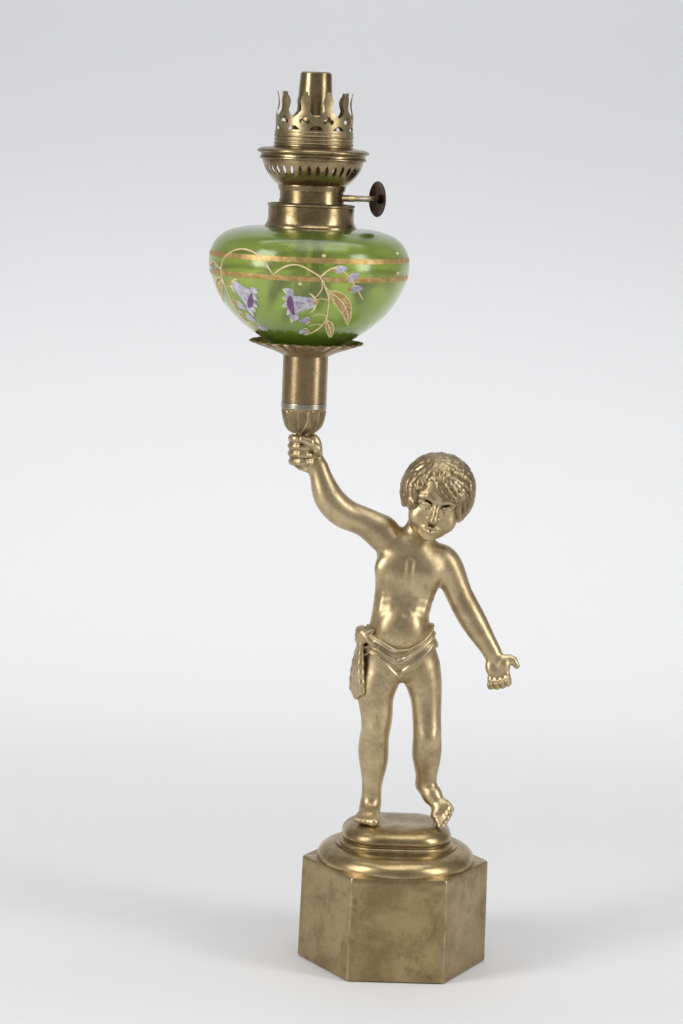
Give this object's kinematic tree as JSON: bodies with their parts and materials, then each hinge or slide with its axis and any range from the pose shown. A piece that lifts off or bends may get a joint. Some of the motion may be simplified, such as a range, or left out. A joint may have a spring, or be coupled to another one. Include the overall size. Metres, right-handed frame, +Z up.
{
  "type": "figural oil table lamp",
  "caption": "Oil lamp whose cast child figure on a six-sided plinth holds up a torch with a round glass font, a flat-flame burner with an air basket and pronged chimney crown.",
  "frame": {"origin": "middle of the plinth's foot, on the table", "axes": "+Z up; a flat of the six-sided plinth faces -Y, the way the figure looks; the torch stands towards -X"},
  "size_m": [0.1911, 0.1176, 0.522],
  "materials": {
    "plinth_brass": "aged satin brass, mottled brown with bright worn edges",
    "moulding_brass": "aged satin brass, turned",
    "figure_brass": "golden bronzed casting, brown in the hollows",
    "torch_brass": "dark brown bronzed brass",
    "ring_steel": "worn silvery metal ring",
    "dish_brass": "thin pressed brass, dull",
    "font_glass": "satin green glass, frosted",
    "cement": "dried plaster, inside the collar",
    "collar_brass": "aged brass, satin",
    "burner_brass": "antique brass, satin",
    "crown_brass": "antique brass, thin sheet",
    "seal_leather": "dark washer",
    "knob_brass": "dark brown patinated brass",
    "spindle_steel": "plain steel rod",
    "hardware_steel": "plain zinc plated steel",
    "enamel_gold": "raised gold-brown enamel",
    "enamel_lilac": "lavender enamel with white edges",
    "enamel_cream": "raised cream enamel",
    "wick_cotton": "woven cotton, matt"
  },
  "bodies": {
    "lamp_stand": {"plinth_shell": "plinth_brass", "plinth_moulding": "moulding_brass", "mound": "moulding_brass", "fixing_rod": "hardware_steel", "fixing_washer": "hardware_steel", "fixing_nut": "hardware_steel", "foot_screws": "hardware_steel", "figure_torso": "figure_brass", "left_leg": "figure_brass", "right_leg": "figure_brass", "raised_arm": "figure_brass", "lowered_arm": "figure_brass", "figure_head": "figure_brass", "loincloth": "figure_brass", "torch_cup": "torch_brass", "torch_ring": "ring_steel", "torch_tube": "torch_brass", "torch_bolt": "hardware_steel", "drip_dish": "dish_brass"},
    "font": {"glass_font": "font_glass", "font_peg": "collar_brass", "font_collar": "collar_brass", "collar_cement": "cement"},
    "seal": {"burner_seal": "seal_leather"},
    "burner": {"burner_base": "burner_brass", "burner_drum": "burner_brass", "air_basket": "burner_brass", "gallery_rim": "burner_brass", "chimney_crown": "crown_brass", "wick_tube_outer": "burner_brass", "wick_tube_inner": "burner_brass", "spindle_sleeve": "burner_brass", "bearing_cup": "burner_brass"},
    "spindle": {"wick_spindle": "spindle_steel", "spur_wheels": "burner_brass", "wick_knob": "knob_brass"},
    "wick": {"wick": "wick_cotton"}
  },
  "joints": [
    {"name": "font_lift", "type": "slide", "parent": "lamp_stand", "child": "font", "axis": [0, 0, 1], "range_m": [0, 0.03]},
    {"name": "burner_lift", "type": "slide", "parent": "font", "child": "seal", "axis": [0, 0, 1], "range_m": [0, 0.075]},
    {"name": "burner_turn", "type": "hinge", "parent": "seal", "child": "burner", "pos_m": [-0.0645, 0, 0.4474], "axis": [0, 0, 1], "range_deg": [0, 1080]},
    {"name": "knob_turn", "type": "hinge", "parent": "burner", "child": "spindle", "pos_m": [-0.05993, -0.00981, 0.4509], "axis": [0.9063, 0.4226, 0], "range_deg": [-140, 235]},
    {"name": "wick_feed", "type": "slide", "parent": "burner", "child": "wick", "axis": [0, 0, 1], "range_m": [-0.0058, 0.0098]}
  ],
  "couplings": [
    {"joint": "knob_turn", "follows": "wick_feed", "rad_per_m": 416.67}
  ]
}
